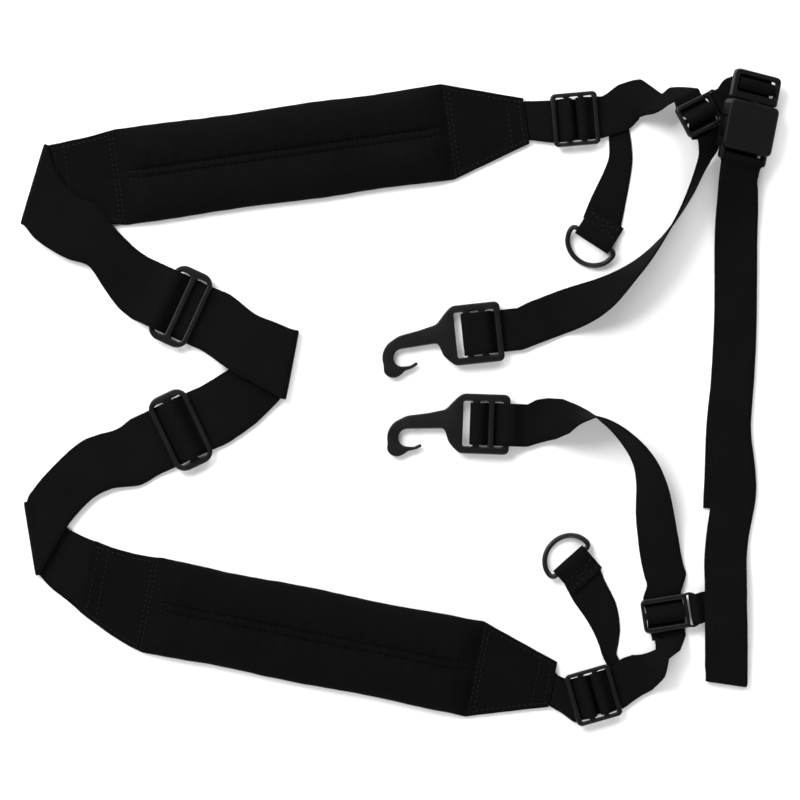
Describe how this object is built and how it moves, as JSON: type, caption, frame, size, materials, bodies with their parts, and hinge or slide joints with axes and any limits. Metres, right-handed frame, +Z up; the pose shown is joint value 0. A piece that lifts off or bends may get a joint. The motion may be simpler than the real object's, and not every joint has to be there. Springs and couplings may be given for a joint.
{
  "type": "saxophone harness",
  "caption": "Black double-shoulder saxophone harness laid flat: two padded straps, adjustable webbing, chest strap with side-release buckle, D-rings and two hooks.",
  "frame": {"origin": "bottom centre of the bounding box of the harness as it lies on a table", "axes": "+X to the wearer's front, +Y to the wearer's left, +Z up from the table"},
  "size_m": [0.4478, 0.3861, 0.0251],
  "materials": {
    "webbing": "matte",
    "cover_cloth": "matte",
    "foam": "matte",
    "lining": "matte",
    "moulded": "satin",
    "coated_wire": "satin"
  },
  "bodies": {
    "harness": {"buckle_socket": "moulded", "chest_strap_lower": "webbing", "chest_strap_tail": "webbing", "chest_strap_upper": "webbing", "left_chest_slider": "moulded", "left_chest_tab": "webbing", "left_front_strap": "webbing", "left_front_tab": "webbing", "left_hook_strap": "webbing", "left_ladder_lock": "moulded", "left_pad_cover": "cover_cloth", "left_pad_foam": "foam", "left_pad_lining": "lining", "left_pull_tail": "webbing", "left_rear_doubled": "webbing", "left_rear_end_loop": "webbing", "left_rear_slider": "moulded", "left_rear_strap": "webbing", "left_rear_threaded": "webbing", "right_chest_slider": "moulded", "right_chest_tab": "webbing", "right_front_strap": "webbing", "right_front_tab": "webbing", "right_hook_strap": "webbing", "right_ladder_lock": "moulded", "right_pad_cover": "cover_cloth", "right_pad_foam": "foam", "right_pad_lining": "lining", "right_pull_tail": "webbing", "right_rear_doubled": "webbing", "right_rear_end_loop": "webbing", "right_rear_slider": "moulded", "right_rear_strap": "webbing", "right_rear_threaded": "webbing"},
    "left_hook": {"left_hook": "moulded", "left_hook_strap_end": "webbing"},
    "right_hook": {"right_hook": "moulded", "right_hook_strap_end": "webbing"},
    "left_d_ring": {"left_d_ring": "coated_wire"},
    "right_d_ring": {"right_d_ring": "coated_wire"},
    "buckle_plug": {"buckle_plug": "moulded", "left_chest_tab_end": "webbing"},
    "buckle_left_arm": {"buckle_left_arm": "moulded"},
    "buckle_right_arm": {"buckle_right_arm": "moulded"}
  },
  "joints": [
    {"name": "left_hook_swing", "type": "hinge", "parent": "harness", "child": "left_hook", "pos_m": [0.06967, 0.04054, 0.00257], "axis": [-0.1045, 0.9945, 0], "range_deg": [0, 90]},
    {"name": "right_hook_swing", "type": "hinge", "parent": "harness", "child": "right_hook", "pos_m": [0.07416, -0.01625, 0.00316], "axis": [0.0349, 0.9994, 0], "range_deg": [0, 90]},
    {"name": "left_d_ring_swing", "type": "hinge", "parent": "harness", "child": "left_d_ring", "pos_m": [0.11421, 0.09352, 0.0037], "axis": [-0.8387, 0.5446, 0], "range_deg": [0, 120]},
    {"name": "right_d_ring_swing", "type": "hinge", "parent": "harness", "child": "right_d_ring", "pos_m": [0.10071, -0.09651, 0.0037], "axis": [0.7478, 0.6639, 0], "range_deg": [0, 120]},
    {"name": "buckle_release", "type": "slide", "parent": "harness", "child": "buckle_plug", "axis": [0.1908, 0.9816, 0], "range_m": [0, 0.03], "deforming": ["buckle_left_arm", "buckle_right_arm"]},
    {"name": "buckle_left_arm_squeeze", "type": "hinge", "parent": "buckle_plug", "child": "buckle_left_arm", "pos_m": [0.19563, 0.17533, 0.01844], "axis": [0.4149, -0.0806, 0.9063], "range_deg": [0, 6], "stiffness_Nm_per_rad": 0.05},
    {"name": "buckle_right_arm_squeeze", "type": "hinge", "parent": "buckle_plug", "child": "buckle_right_arm", "pos_m": [0.21769, 0.17104, 0.00796], "axis": [-0.4149, 0.0806, -0.9063], "range_deg": [0, 6], "stiffness_Nm_per_rad": 0.05}
  ]
}
